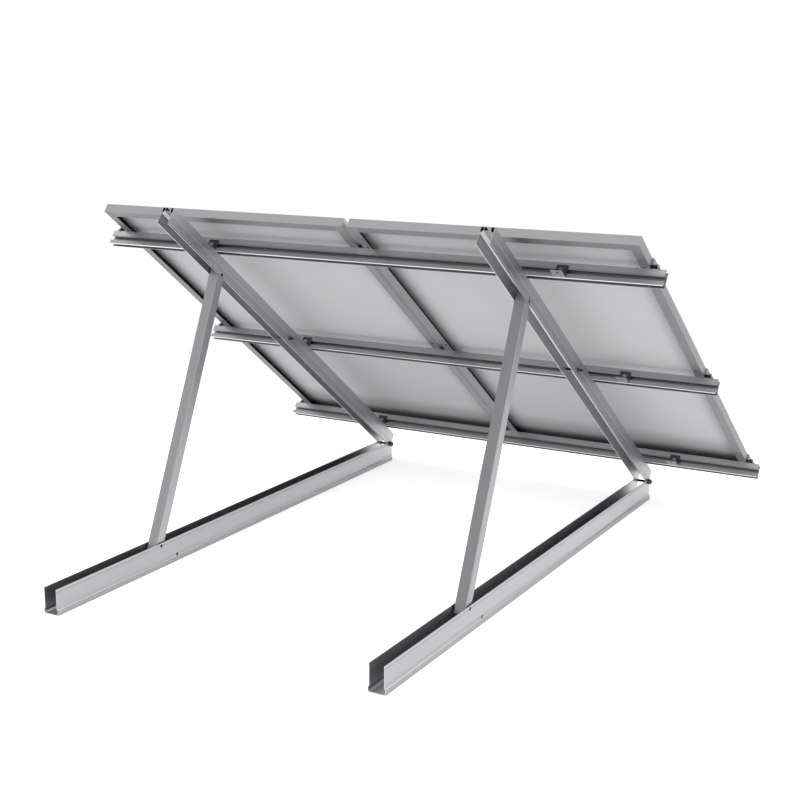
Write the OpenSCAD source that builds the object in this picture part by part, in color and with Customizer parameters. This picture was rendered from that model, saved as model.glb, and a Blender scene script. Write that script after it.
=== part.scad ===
// Ground rack that carries two framed solar panels side by side on a fixed slope.
// X runs along the rails, Y runs towards the low edge of the panels and Z is up.
// Two open base channels, two rafters and two rear legs make a pair of bolted triangles.
// Three rails lie across the rafters, and clamps hold the panel frames down on the rails.

/* [Triangle] */
// Slope of the panels, in degrees
slope = 36.75; // [25:0.25:45]
// Distance between the two rafters, centre to centre
rafter_spacing = 1210; // [700:5:1500]
// How far both rafters stand to the right of the middle
rafter_shift = -3; // [-20:1:20]
// Distance along the base channel from the pivot bolt to the leg's foot bolt
foot_reach = 1616; // [1500:1:1800]
// Distance along the rafter from the pivot bolt to the leg's top bolt
top_reach = 1518; // [1350:1:1590]

/* [Base channels] */
// Length of a base channel
base_len = 2162; // [1900:1:2600]
// Height of a base channel
base_h = 88; // [80:1:100]
// Wall thickness of a base channel
base_wall = 2; // [1.5:0.1:2.5]
// Height of the wider foot of a base channel, below its slant
flare_h = 17; // [10:0.5:17]
// How far the foot stands out on each side
flare_w = 3.5; // [2:0.5:5]
// Size of the fillet between the foot's floor and walls
base_fillet = 4; // [2:0.5:6]
// Distance from the channel's top edge down to the bolt holes
bolt_drop = 9.7; // [8:0.1:15]
// Length of channel past the pivot bolt
base_tail = 15; // [12:0.5:40]
// Gap between the rafter and each wall of the channel
channel_gap = 0.3; // [0.2:0.05:1]
// Diameter of the spare fixing hole in the channel's walls
fixing_hole_d = 6.5; // [5:0.5:6.5]
// Height of the spare fixing hole above the ground
fixing_hole_z = 23.5; // [23.5:0.5:40]
// Distance along the channel from the pivot bolt to the spare fixing hole
fixing_hole_reach = 1531; // [200:1:1560]

/* [Rafters] */
// Outer width of a rafter
rafter_w = 47.5; // [44:0.5:60]
// Depth of a rafter
rafter_h = 62.5; // [60:0.5:80]
// Wall thickness of a rafter
rafter_wall = 1.8; // [1.6:0.1:2.6]
// Length of rafter above the top edge of the panels
rafter_overhang = 148; // [60:1:300]
// Length of rafter past the pivot bolt
rafter_tail = 12; // [11:0.5:14]
// Distance from the rafter's lower edge up to its bolt holes
rafter_edge = 9; // [8:0.5:11]
// Inner width of the rafter's T-slot
slot_w = 22; // [18:0.5:24]
// Width of the mouth of the rafter's T-slot
slot_mouth = 16; // [12:0.5:17]
// Depth of the rafter's T-slot
slot_depth = 14; // [12:0.5:15]
// How much deeper the side chambers reach at their outer walls
chamber_drop = 7.5; // [3:0.5:8]
// Distance along the rafter from the pivot bolt to the cross bolt
cross_reach = 993; // [900:1:1100]
// Height of the cross bolt above the pivot bolt, square to the slope
cross_rise = 15; // [8:0.5:20]
// Length of the cross bolt past its nut
cross_end = 9; // [2:0.5:14]

/* [Legs] */
// Width of a leg's square tube
leg_w = 40; // [30:0.5:41]
// Wall thickness of a leg
leg_wall = 2.4; // [1.5:0.1:2.8]
// Corner radius of a leg
leg_r = 3; // [2.5:0.5:6]
// Length of leg past each of its bolts
leg_end = 23; // [15:0.5:23]

/* [Rails] */
// Depth of a rail, from the rafter to the panel
rail_h = 53; // [50:0.5:70]
// Width of a rail
rail_w = 25; // [24:0.5:40]
// Wall thickness of a rail
rail_wall = 2.2; // [1.6:0.1:2.4]
// Length of rail past the panels at each end
rail_overhang = 50; // [36:1:200]
// Distance from the panel's top edge to the first rail
rail_first = 138; // [60:1:200]
// Distance from one rail to the next
rail_pitch = 755; // [600:1:760]
// Width of the mouth of the rail's top slot
top_mouth = 14; // [12:0.5:15]
// Height of the mouth of the rail's side slot
side_mouth = 14.7; // [13:0.1:16]
// Distance from the rail's top down to the middle of its side slot
side_slot_drop = 32.2; // [31:0.1:34]
// Depth of the rail's side slot
side_slot_depth = 13.5; // [12:0.5:15]
// Width of the foot lip under the rail's side wall
rail_foot = 7; // [5:0.5:9]

/* [Panels] */
// Width of a panel
panel_w = 1016; // [900:1:1200]
// Length of a panel along the slope
panel_len = 1812; // [1720:1:2100]
// Gap between the two panels
panel_gap = 20; // [19.5:0.5:30]
// Thickness of a panel frame
frame_h = 32; // [30:0.5:50]
// Width of the flange at the back of a panel frame
flange_w = 32; // [26:0.5:40]
// Wall thickness of a panel frame
frame_wall = 1.8; // [1.4:0.1:2.4]
// Width of the frame's front lip
lip_w = 9; // [6:0.5:12]
// Width of the frame's hollow chamber
chamber_w = 11; // [8:0.5:14]
// Height of the frame's hollow chamber
chamber_h = 12; // [8:0.5:16]
// Thickness of the glass and back sheet together
laminate_t = 5; // [3:0.5:7]
// Distance from the panel's top edge down to the pivot bolt
panel_to_pivot = 1735; // [1700:1:1760]
// Diameter of the holes in the back flange
frame_hole_d = 7; // [5:0.5:9]
// Distance from the frame's outer edge to the holes
frame_hole_in = 20; // [18:0.5:21]

/* [Clamps and brackets] */
// Length of a clamp along the slope
clamp_len = 35; // [25:1:60]
// Thickness of a clamp
clamp_t = 3; // [2:0.1:4]
// How far a clamp reaches over a panel frame
clamp_lip = 8; // [5:0.5:10]
// Height of the clamp's bolt plate above the rail
clamp_seat = 10.5; // [8:0.5:12]
// Width of an end clamp's bolt plate
clamp_seat_w = 23; // [22:0.5:26]
// How far an end clamp's outer foot leans out
clamp_lean = 5.5; // [3:0.5:7]
// Width of a rail bracket
bracket_w = 40; // [30:1:60]
// Length of a rail bracket's foot
bracket_foot = 43; // [40:0.5:50]
// Height of a rail bracket
bracket_h = 42; // [38:0.5:48]
// Thickness of a rail bracket
bracket_t = 4; // [3:0.5:5]
// Distance from the rail to the hole in the bracket's foot
bracket_hole_out = 29.5; // [26:0.5:30]
// Distance from the right rafter to the right brackets
bracket_offset = 140; // [60:1:200]

/* [Fasteners] */
// Diameter of the pivot bolts
pivot_d = 10; // [8:0.5:12]
// Diameter of all other bolts
bolt_d = 8; // [6:0.5:8]
// Clearance of a bolt in its hole, on the diameter
bolt_gap = 0.6; // [0.3:0.1:1]
// Clearance between a mid clamp and the panel on each side
clamp_gap = 0.3; // [0.2:0.05:0.4]

/* [Hidden] */
// Fineness of all round parts
$fn = 48;
// Overlap that lets a cut run past a face
over = 1;

// Across flats, height and washer sizes of the fasteners
pivot_flats = 1.9 * pivot_d;
pivot_nut_h = pivot_d;
pivot_head_h = 0.7 * pivot_d;
pivot_washer_t = 2.5;
pivot_end = 2.5;
hex_flats = 1.625 * bolt_d;
hex_h = 0.7 * bolt_d;
nut_h = 0.8 * bolt_d;
washer_d = 2.1 * bolt_d;
washer_t = 1.6;
bolt_end = 3;
screw_head_d = 1.6 * bolt_d;
screw_head_h = bolt_d;
socket_flats = 0.75 * bolt_d;
spacer_d = 2.25 * bolt_d;
slot_nut = [20, 18, 6];
// Clearance of a slot nut or bolt head in its slot, on each side
slot_gap = 0.4;
// Depth of the lips at the mouth of the rail's side slot
side_lip = 3;
t_head = [12, side_mouth + 2 * (side_lip - slot_gap), 5];
rafter_nut = [slot_w - 2 * slot_gap, slot_nut[1], slot_nut[2]];

// Base channel across its walls
base_in = rafter_w + 2 * channel_gap;
base_w = base_in + 2 * base_wall;
slant_h = 3;
slant_shift = 0.9;
groove = [0.5, 1.2];
// Heights of the fine lines: on a base channel from its foot and top, on a rafter from its two edges
base_lines = [7, 10];
rafter_lines = [6, 31];

// Places along the triangle, all measured from the pivot bolt
bolt_z = base_h - bolt_drop;
rafter_top = rafter_h - rafter_edge;
rail_top = rafter_top + rail_h;
panel_front = rail_top + frame_h;
panel_low = panel_len - panel_to_pivot;
leg_dy = foot_reach - top_reach * cos(slope);
leg_dz = top_reach * sin(slope);
leg_span = sqrt(leg_dy * leg_dy + leg_dz * leg_dz);
leg_lean = atan2(leg_dy, leg_dz);

// The origin is under the middle of the whole rack
near_y = base_tail - base_len;
far_y = max(base_tail, panel_low * cos(slope) + panel_front * sin(slope));
pivot_y = -(near_y + far_y) / 2;
rafter_x = [rafter_shift - rafter_spacing / 2, rafter_shift + rafter_spacing / 2];
panels_w = 2 * panel_w + panel_gap;
panel_x = [-panels_w / 2, panel_gap / 2];

// Rail section, with s from its upper side and h from its top
rail_y = [for (i = [0:2]) rail_first - panel_to_pivot + i * rail_pitch];
rail_len = panels_w + 2 * rail_overhang;
top_slot_floor = 16.8;
lip_bead = [1.6, 1.8];
mouth_s = (rail_w + 1 - top_mouth) / 2;
slot_mid_s = mouth_s + top_mouth / 2;
side_low = side_slot_drop + side_mouth / 2;
side_floor = side_low + side_lip;

// Height of the side slot above the rafter, and the underside of the top slot's beads
side_slot_z = rail_h - side_slot_drop;
bead_z = -rail_wall - lip_bead[1];

// Middle of an end clamp's bolt plate, from the frame's side, and the clamp screws along a rail
end_bolt_x = 1.5 * clamp_t + (clamp_seat_w - 1.5 * clamp_t) / 2;
screw_x = [-panels_w / 2 - end_bolt_x, 0, panels_w / 2 + end_bolt_x];

// Holes in the long members of a panel frame, from the panel's middle
frame_holes = [58, 651, 774];

// Brackets: the left ones stand on the left rafter, the right ones beside the right rafter
bracket_x = [rafter_x[0], rafter_x[1] + bracket_offset];

// Puts a piece in the frame of the slope: Y down the slope, Z out of the panels, pivot at 0
module on_slope() {
    translate([0, pivot_y, bolt_z]) rotate([-slope, 0, 0]) children();
}

// Puts a piece in the frame of the base: pivot bolt at 0 along Y, ground at 0
module on_base() {
    translate([0, pivot_y, 0]) children();
}

// Puts a piece in the frame of a leg: foot bolt at 0, Z along the leg
module on_leg() {
    translate([0, pivot_y - foot_reach, bolt_z]) rotate([-leg_lean, 0, 0]) children();
}

// Cylinder along X, centred
module rod_x(d, len) {
    rotate([0, 90, 0]) cylinder(d = d, h = len, center = true);
}

// Hexagonal prism, by its distance across flats
module hex(flats, h) {
    cylinder(d = flats / cos(30), h = h, $fn = 6);
}

// Rectangle with round corners
module round_rect(w, h, r) {
    square([w - 2 * r, h], center = true);
    square([w, h - 2 * r], center = true);
    for (x = [-1, 1], y = [-1, 1]) translate([x * (w / 2 - r), y * (h / 2 - r)]) circle(r);
}

// Section of a base channel: a deep U that steps out into a wider foot
module base_profile() {
    half = base_w / 2;
    inner = base_in / 2;
    foot = inner + flare_w;
    difference() {
        polygon([
            [-half - flare_w, 0], [half + flare_w, 0], [half + flare_w, flare_h], [half, flare_h + slant_h],
            [half, base_h], [-half, base_h], [-half, flare_h + slant_h], [-half - flare_w, flare_h]
        ]);
        polygon([
            [-foot + base_fillet, base_wall], [foot - base_fillet, base_wall],
            [foot, base_wall + base_fillet], [foot, flare_h - slant_shift],
            [inner, flare_h + slant_h - slant_shift], [inner, base_h + over],
            [-inner, base_h + over], [-inner, flare_h + slant_h - slant_shift],
            [-foot, flare_h - slant_shift], [-foot, base_wall + base_fillet]
        ]);
        for (side = [-1, 1], z = [flare_h + slant_h + base_lines[0], base_h - base_lines[1]])
            translate([side * half - groove[0], z]) square([2 * groove[0], groove[1]]);
    }
}

module base(i) {
    color("gainsboro") on_base() translate([rafter_x[i], 0, 0]) difference() {
        translate([0, base_tail, 0]) rotate([90, 0, 0]) linear_extrude(base_len) base_profile();
        translate([0, 0, bolt_z]) rod_x(pivot_d + bolt_gap, base_w + 2 * over);
        translate([0, -foot_reach, bolt_z]) rod_x(bolt_d + bolt_gap, base_w + 2 * over);
        translate([0, -fixing_hole_reach, fixing_hole_z]) rod_x(fixing_hole_d, base_w + 2 * over);
    }
}

// Section of a rafter: an inverted U under a T-slot with a slanted chamber on each side
module rafter_profile() {
    half = rafter_w / 2;
    inner = half - rafter_wall;
    slot = slot_w / 2;
    web = rafter_top - slot_depth;
    skin = rafter_top - rafter_wall;
    difference() {
        translate([-half, -rafter_edge]) square([rafter_w, rafter_h]);
        // T-slot and its mouth
        translate([-slot, web]) square([slot_w, slot_depth - rafter_wall]);
        translate([-slot_mouth / 2, web]) square([slot_mouth, slot_depth + over]);
        // Chambers with slanted floors
        for (side = [-1, 1]) polygon([
            [side * (slot + rafter_wall), skin], [side * inner, skin],
            [side * inner, web - chamber_drop], [side * (slot + rafter_wall), web]
        ]);
        // Open underside, which follows the web
        polygon([
            [-inner, -rafter_edge - over], [inner, -rafter_edge - over],
            [inner, web - chamber_drop - rafter_wall], [slot, web - rafter_wall],
            [-slot, web - rafter_wall], [-inner, web - chamber_drop - rafter_wall]
        ]);
        // Fine lines along the outer sides
        for (side = [-1, 1], b = [rafter_lines[0] - rafter_edge, rafter_top - rafter_lines[1]])
            translate([side * half - groove[0], b]) square([2 * groove[0], groove[1]]);
    }
}

module rafter(i) {
    rafter_len = rafter_tail + panel_to_pivot + rafter_overhang;
    color("darkgray") on_slope() translate([rafter_x[i], 0, 0]) difference() {
        translate([0, rafter_tail, 0]) rotate([90, 0, 0]) linear_extrude(rafter_len) rafter_profile();
        rod_x(pivot_d + bolt_gap, rafter_w + 2 * over);
        translate([0, -top_reach, 0]) rod_x(bolt_d + bolt_gap, rafter_w + 2 * over);
        translate([0, -cross_reach, cross_rise]) rod_x(bolt_d + bolt_gap, rafter_w + 2 * over);
    }
}

// Square tube with round corners, drilled for its two bolts
module leg(i) {
    color("silver") on_leg() translate([rafter_x[i], 0, 0]) difference() {
        translate([0, 0, -leg_end]) linear_extrude(leg_span + 2 * leg_end) difference() {
            round_rect(leg_w, leg_w, leg_r);
            round_rect(leg_w - 2 * leg_wall, leg_w - 2 * leg_wall, leg_r - leg_wall);
        }
        rod_x(bolt_d + bolt_gap, leg_w + 2 * over);
        translate([0, 0, leg_span]) rod_x(bolt_d + bolt_gap, leg_w + 2 * over);
    }
}

// Section of a rail: open slots in its top, its upper side and its underside
module rail_profile() {
    far = rail_w - rail_wall;
    difference() {
        translate([0, -rail_h]) square([rail_w, rail_h]);
        // Top slot behind two lips, and its mouth
        translate([rail_wall, -top_slot_floor]) square([rail_w - 2 * rail_wall, top_slot_floor - rail_wall]);
        translate([mouth_s, -top_slot_floor]) square([top_mouth, top_slot_floor + over]);
        // Side slot behind two lips, and its mouth
        translate([rail_wall, -side_floor])
            square([side_slot_depth - rail_wall, side_floor - top_slot_floor - rail_wall]);
        translate([-over, -side_low]) square([side_slot_depth + over, side_mouth]);
        // Closed chamber behind the side slot
        translate([side_slot_depth + rail_wall, -side_floor])
            square([far - side_slot_depth - rail_wall, side_floor - top_slot_floor - rail_wall]);
        // Underside, open from the foot lip to the far wall
        translate([rail_wall, -rail_h + rail_wall])
            square([far - rail_wall, rail_h - 2 * rail_wall - side_floor]);
        translate([rail_foot, -rail_h - over]) square([far - rail_foot, 2 * rail_wall + over]);
    }
    // Beads under the two lips of the top slot
    for (s = [mouth_s - lip_bead[0], mouth_s + top_mouth])
        translate([s, -rail_wall - lip_bead[1]]) square([lip_bead[0], lip_bead[1] + rail_wall / 2]);
}

module rail(i) {
    color("lightgray") on_slope() translate([-rail_len / 2, rail_y[i], rail_top])
        rotate([90, 0, 90]) linear_extrude(rail_len) rail_profile();
}

// Section of a panel frame, with its outer side at 0 and its back at 0
module frame_profile() {
    seat = frame_h - frame_wall - laminate_t;
    square([frame_wall, frame_h]);
    square([flange_w, frame_wall]);
    translate([0, frame_h - frame_wall]) square([lip_w, frame_wall]);
    difference() {
        translate([0, seat - chamber_h]) square([chamber_w, chamber_h]);
        translate([frame_wall, seat - chamber_h + frame_wall])
            square([chamber_w - 2 * frame_wall, chamber_h - 2 * frame_wall]);
    }
}

// One member of a panel frame along X, mitred at both ends
module frame_member(len, holes = []) {
    reach = flange_w + over;
    difference() {
        rotate([90, 0, 90]) linear_extrude(len) frame_profile();
        for (end = [0, 1]) translate([end * len, 0, -over]) mirror([end, 0, 0])
            linear_extrude(frame_h + 2 * over) polygon([[-over, -over], [reach, reach], [-over, reach]]);
        for (x = holes, side = [-1, 1])
            translate([len / 2 + side * x, frame_hole_in, -over]) cylinder(d = frame_hole_d, h = frame_wall + 2 * over);
    }
}

// Puts a piece in the frame of a panel: its top left corner at 0, its back at 0
module on_panel(i) {
    on_slope() translate([panel_x[i], -panel_to_pivot, rail_top]) children();
}

module frame_top(i) {
    color("silver") on_panel(i) frame_member(panel_w);
}

module frame_bottom(i) {
    color("silver") on_panel(i) translate([panel_w, panel_len, 0]) rotate(180) frame_member(panel_w);
}

module frame_left(i) {
    color("silver") on_panel(i) translate([0, panel_len, 0]) rotate(-90) frame_member(panel_len, frame_holes);
}

module frame_right(i) {
    color("silver") on_panel(i) translate([panel_w, 0, 0]) rotate(90) frame_member(panel_len, frame_holes);
}

// Glass, cells and back sheet bonded into one sheet
module laminate(i) {
    color("whitesmoke") on_panel(i)
        translate([frame_wall, frame_wall, frame_h - frame_wall - laminate_t])
            cube([panel_w - 2 * frame_wall, panel_len - 2 * frame_wall, laminate_t]);
}

// Puts a piece at each rail's top slot, with the rail's top at 0
module at_rails() {
    on_slope() for (y = rail_y) translate([0, y + slot_mid_s, rail_top]) children();
}

// Section of an end clamp, with the frame's side at 0 and the rail's top at 0
module end_clamp_profile() {
    plate_top = clamp_seat + clamp_t;
    polygon([
        [-clamp_lip, frame_h], [0, frame_h], [0, clamp_seat], [clamp_seat_w - 1.5 * clamp_t, clamp_seat],
        [clamp_seat_w - 1.5 * clamp_t + clamp_lean, 0], [clamp_seat_w + 1.5 * clamp_lean, 0],
        [clamp_seat_w, plate_top], [1.5 * clamp_t, plate_top], [1.5 * clamp_t, frame_h + clamp_t],
        [-clamp_lip, frame_h + clamp_t]
    ]);
}

module end_clamps(side) {
    color("silver") at_rails() translate([side * panels_w / 2, 0, 0]) mirror([side < 0 ? 1 : 0, 0, 0])
        difference() {
            translate([0, clamp_len / 2, 0]) rotate([90, 0, 0]) linear_extrude(clamp_len) end_clamp_profile();
            translate([end_bolt_x, 0, 0]) cylinder(d = bolt_d + bolt_gap, h = clamp_seat + clamp_t + over);
        }
}

// Section of a mid clamp: a U in the gap between the panels, with a lip over each frame
module mid_clamp_profile() {
    half = panel_gap / 2 - clamp_gap;
    difference() {
        union() {
            translate([-half, clamp_seat]) square([2 * half, frame_h + clamp_t - clamp_seat]);
            translate([-half - clamp_lip, frame_h]) square([2 * (half + clamp_lip), clamp_t]);
        }
        translate([-half + clamp_t * 0.8, clamp_seat + clamp_t]) square([2 * half - clamp_t * 1.6, frame_h]);
    }
}

module mid_clamps() {
    color("silver") at_rails() difference() {
        translate([0, clamp_len / 2, 0]) rotate([90, 0, 0]) linear_extrude(clamp_len) mid_clamp_profile();
        cylinder(d = bolt_d + bolt_gap, h = clamp_seat + clamp_t + over);
    }
}

// Socket head screws that draw the clamps down to the slot nuts
module clamp_screws() {
    plate_top = clamp_seat + clamp_t;
    color("dimgray") at_rails() for (x = screw_x) translate([x, 0, 0]) difference() {
        union() {
            translate([0, 0, plate_top]) cylinder(d = screw_head_d, h = screw_head_h);
            translate([0, 0, bead_z - slot_nut[2]]) cylinder(d = bolt_d, h = plate_top - bead_z + slot_nut[2]);
        }
        translate([0, 0, plate_top + screw_head_h / 2]) hex(socket_flats, screw_head_h);
    }
}

module clamp_slot_nuts() {
    color("dimgray") at_rails() for (x = screw_x)
        translate([x, 0, bead_z - slot_nut[2]]) difference() {
            translate([-slot_nut[0] / 2, -slot_nut[1] / 2, 0]) cube(slot_nut);
            translate([0, 0, -over]) cylinder(d = bolt_d, h = slot_nut[2] + 2 * over);
        }
}

// Puts a piece at the foot of each bracket on one rafter side, with the rail's upper side at 0
module at_brackets(sides) {
    on_slope() for (y = rail_y, i = sides) translate([bracket_x[i], y, rafter_top]) children();
}

// Angle bracket that ties a rail to a rafter, with a fillet in its inner corner
module brackets(i) {
    fillet = bracket_t;
    color("dimgray") at_brackets([i]) difference() {
        translate([-bracket_w / 2, 0, 0]) rotate([90, 0, 90]) linear_extrude(bracket_w) difference() {
            union() {
                translate([-bracket_foot, 0]) square([bracket_foot, bracket_t]);
                translate([-bracket_t, 0]) square([bracket_t, bracket_h]);
                translate([-bracket_t - fillet, bracket_t]) square(fillet);
            }
            translate([-bracket_t - fillet, bracket_t + fillet]) circle(fillet);
        }
        translate([0, -bracket_hole_out, -over]) cylinder(d = bolt_d + bolt_gap, h = bracket_t + 2 * over);
        translate([0, over, side_slot_z]) rotate([90, 0, 0])
            cylinder(d = bolt_d + bolt_gap, h = bracket_t + 2 * over);
    }
}

// Hammer head bolts behind the lips of the rail's side slot
module bracket_t_bolts() {
    shank = rail_wall + bracket_t + washer_t + nut_h + bolt_end;
    color("dimgray") at_brackets([0, 1]) translate([0, rail_wall, side_slot_z]) rotate([90, 0, 0]) {
        translate([-t_head[0] / 2, -t_head[1] / 2, -t_head[2]]) cube(t_head);
        cylinder(d = bolt_d, h = shank);
    }
}

module bracket_washers() {
    color("silver") at_brackets([0, 1]) translate([0, -bracket_t, side_slot_z]) rotate([90, 0, 0])
        difference() {
            cylinder(d = washer_d, h = washer_t);
            translate([0, 0, -over]) cylinder(d = bolt_d + bolt_gap, h = washer_t + 2 * over);
        }
}

module bracket_nuts() {
    color("silver") at_brackets([0, 1]) translate([0, -bracket_t - washer_t, side_slot_z]) rotate([90, 0, 0])
        difference() {
            hex(hex_flats, nut_h);
            translate([0, 0, -over]) cylinder(d = bolt_d, h = nut_h + 2 * over);
        }
}

// Bolts through the feet of the left brackets into the rafter's T-slot
module bracket_foot_bolts() {
    grip = bracket_t + rafter_wall + rafter_nut[2];
    color("dimgray") at_brackets([0]) translate([0, -bracket_hole_out, bracket_t]) {
        hex(hex_flats, hex_h);
        translate([0, 0, -grip]) cylinder(d = bolt_d, h = grip);
    }
}

module bracket_foot_nuts() {
    color("dimgray") at_brackets([0]) translate([0, -bracket_hole_out, -rafter_wall - rafter_nut[2]])
        difference() {
            translate([-rafter_nut[0] / 2, -rafter_nut[1] / 2, 0]) cube(rafter_nut);
            translate([0, 0, -over]) cylinder(d = bolt_d, h = rafter_nut[2] + 2 * over);
        }
}

// Puts a piece at each pivot bolt, at the outer face of the channel's right wall
module at_pivots() {
    on_base() for (x = rafter_x) translate([x, 0, bolt_z]) children();
}

module pivot_bolts() {
    left = base_w / 2 + pivot_washer_t;
    right = left + pivot_nut_h + pivot_end;
    color("dimgray") at_pivots() rotate([0, 90, 0]) {
        translate([0, 0, -left]) cylinder(d = pivot_d, h = left + right);
        translate([0, 0, -left - pivot_head_h]) hex(pivot_flats, pivot_head_h);
    }
}

module pivot_nuts() {
    color("dimgray") at_pivots() rotate([0, 90, 0]) translate([0, 0, base_w / 2 + pivot_washer_t])
        difference() {
            hex(pivot_flats, pivot_nut_h);
            translate([0, 0, -over]) cylinder(d = pivot_d, h = pivot_nut_h + 2 * over);
        }
}

module pivot_washers() {
    color("dimgray") at_pivots() rotate([0, 90, 0])
        for (z = [-base_w / 2 - pivot_washer_t, base_w / 2]) translate([0, 0, z]) difference() {
            cylinder(d = 2.1 * pivot_d, h = pivot_washer_t);
            translate([0, 0, -over]) cylinder(d = pivot_d + bolt_gap, h = pivot_washer_t + 2 * over);
        }
}

// Bolt with its head on the left of a profile and its end flush with the profile's right side
module side_bolt(across) {
    rotate([0, 90, 0]) {
        translate([0, 0, -across / 2]) cylinder(d = bolt_d, h = across);
        translate([0, 0, -across / 2 - hex_h]) hex(hex_flats, hex_h);
    }
}

// Ring on each side of a leg that fills the gap to the walls around it
module leg_rings(across, d) {
    gap = (across - leg_w) / 2;
    rotate([0, 90, 0]) for (z = [-across / 2, leg_w / 2]) translate([0, 0, z]) difference() {
        cylinder(d = d, h = gap);
        translate([0, 0, -over]) cylinder(d = bolt_d + bolt_gap, h = gap + 2 * over);
    }
}

module leg_foot_bolts() {
    color("black") on_leg() for (x = rafter_x) translate([x, 0, 0]) side_bolt(base_w);
}

module leg_foot_spacers() {
    color("black") on_leg() for (x = rafter_x) translate([x, 0, 0]) leg_rings(base_in, spacer_d);
}

module leg_top_bolts() {
    color("black") on_leg() for (x = rafter_x) translate([x, 0, leg_span]) side_bolt(rafter_w);
}

module leg_top_washers() {
    color("dimgray") on_leg() for (x = rafter_x)
        translate([x, 0, leg_span]) leg_rings(rafter_w - 2 * rafter_wall, washer_d);
}

// Puts a piece at each rafter's cross bolt, with X along the bolt
module at_cross_bolts() {
    on_slope() for (x = rafter_x) translate([x, -cross_reach, cross_rise]) rotate([0, 90, 0]) children();
}

// Bolts through both walls of a rafter's open underside
module cross_bolts() {
    color("dimgray") at_cross_bolts() {
        translate([0, 0, -rafter_w / 2]) cylinder(d = bolt_d, h = rafter_w + washer_t + nut_h + cross_end);
        translate([0, 0, -rafter_w / 2 - hex_h]) hex(hex_flats, hex_h);
    }
}

module cross_nuts() {
    color("dimgray") at_cross_bolts() translate([0, 0, rafter_w / 2 + washer_t]) difference() {
        hex(hex_flats, nut_h);
        translate([0, 0, -over]) cylinder(d = bolt_d, h = nut_h + 2 * over);
    }
}

module cross_washers() {
    color("dimgray") at_cross_bolts() translate([0, 0, rafter_w / 2]) difference() {
        cylinder(d = washer_d, h = washer_t);
        translate([0, 0, -over]) cylinder(d = bolt_d + bolt_gap, h = washer_t + 2 * over);
    }
}

base(0);  // base_left
base(1);  // base_right
rafter(0);  // rafter_left
rafter(1);  // rafter_right
leg(0);  // leg_left
leg(1);  // leg_right
rail(0);  // rail_top
rail(1);  // rail_middle
rail(2);  // rail_bottom
frame_top(0);  // left_frame_top
frame_bottom(0);  // left_frame_bottom
frame_left(0);  // left_frame_outer
frame_right(0);  // left_frame_inner
laminate(0);  // left_laminate
frame_top(1);  // right_frame_top
frame_bottom(1);  // right_frame_bottom
frame_left(1);  // right_frame_inner
frame_right(1);  // right_frame_outer
laminate(1);  // right_laminate
end_clamps(-1);  // end_clamps_left
end_clamps(1);  // end_clamps_right
mid_clamps();
clamp_screws();
clamp_slot_nuts();
brackets(0);  // brackets_left
brackets(1);  // brackets_right
bracket_t_bolts();
bracket_washers();
bracket_nuts();
bracket_foot_bolts();
bracket_foot_nuts();
pivot_bolts();
pivot_nuts();
pivot_washers();
leg_foot_bolts();
leg_foot_spacers();
leg_top_bolts();
leg_top_washers();
cross_bolts();
cross_nuts();
cross_washers();
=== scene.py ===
"""Looks for a ground rack with two solar panels, laid out as a Blender add-on and run as a script."""

import math

import bmesh
import bpy
from bpy.props import FloatProperty, FloatVectorProperty, IntProperty, PointerProperty
from mathutils import Matrix, Vector


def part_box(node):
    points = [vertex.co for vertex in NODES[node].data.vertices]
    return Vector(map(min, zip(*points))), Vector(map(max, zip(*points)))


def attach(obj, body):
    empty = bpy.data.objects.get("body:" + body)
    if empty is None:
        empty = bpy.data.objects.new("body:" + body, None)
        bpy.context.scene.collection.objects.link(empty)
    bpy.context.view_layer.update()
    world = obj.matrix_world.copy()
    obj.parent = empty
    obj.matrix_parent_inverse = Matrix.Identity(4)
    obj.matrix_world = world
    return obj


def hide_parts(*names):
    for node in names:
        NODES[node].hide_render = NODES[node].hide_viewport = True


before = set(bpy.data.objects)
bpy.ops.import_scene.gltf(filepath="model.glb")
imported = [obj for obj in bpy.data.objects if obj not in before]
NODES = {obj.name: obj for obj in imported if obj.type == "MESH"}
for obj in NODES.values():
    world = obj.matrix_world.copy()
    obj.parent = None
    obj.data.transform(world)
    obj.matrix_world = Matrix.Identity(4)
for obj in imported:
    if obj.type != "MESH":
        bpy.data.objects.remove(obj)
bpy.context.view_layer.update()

bl_info = {
    "name": "Solar rack looks",
    "version": (1, 0, 0),
    "blender": (4, 5, 0),
    "location": "3D View > Sidebar > Solar rack",
    "description": "Finishes, fasteners, panel fronts and studio for a ground rack with two solar panels",
    "category": "Object",
}

MM = 0.001


def middle(node):
    """Middle of a CAD node's box."""
    low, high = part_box(node)
    return (low + high) / 2


# Places and sizes on the rack in metres, taken from the frame or the same as in its source
SLOPE = math.radians(36.75)
PIVOT = middle("pivot_nuts")
RAFTER_X = (middle("rafter_left").x, middle("rafter_right").x)
RAIL_A = (-1597 * MM, -842 * MM, -87 * MM)
RAIL_PITCH = 0.755
RAIL_MIDDLE = 13 * MM
RAFTER_TOP = 53.5 * MM
RAIL_TOP = 106.5 * MM
PANEL_A = -1735 * MM
PANEL_X = 10 * MM
PANEL_W = 1016 * MM
PANEL_LEN = 1812 * MM
CLAMP_LEN = 35 * MM
CLAMP_SEAT = 10.6 * MM
END_CLAMP_X = 1039.75 * MM
CHANNEL_HALF = 26.05 * MM
RAFTER_HALF = 23.75 * MM
LEG_HALF = 20 * MM
M8_PITCH = 1.25 * MM
M10_PITCH = 1.5 * MM
TURN_OVER = Matrix.Rotation(math.pi, 4, "X")
PIVOT_ALONG = PIVOT.y * math.cos(SLOPE) - PIVOT.z * math.sin(SLOPE)
PIVOT_ABOVE = PIVOT.y * math.sin(SLOPE) + PIVOT.z * math.cos(SLOPE)
BRACKET_X = (RAFTER_X[0], RAFTER_X[1] + 140 * MM)
LEG_FOOT = middle("leg_foot_bolts")
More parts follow.
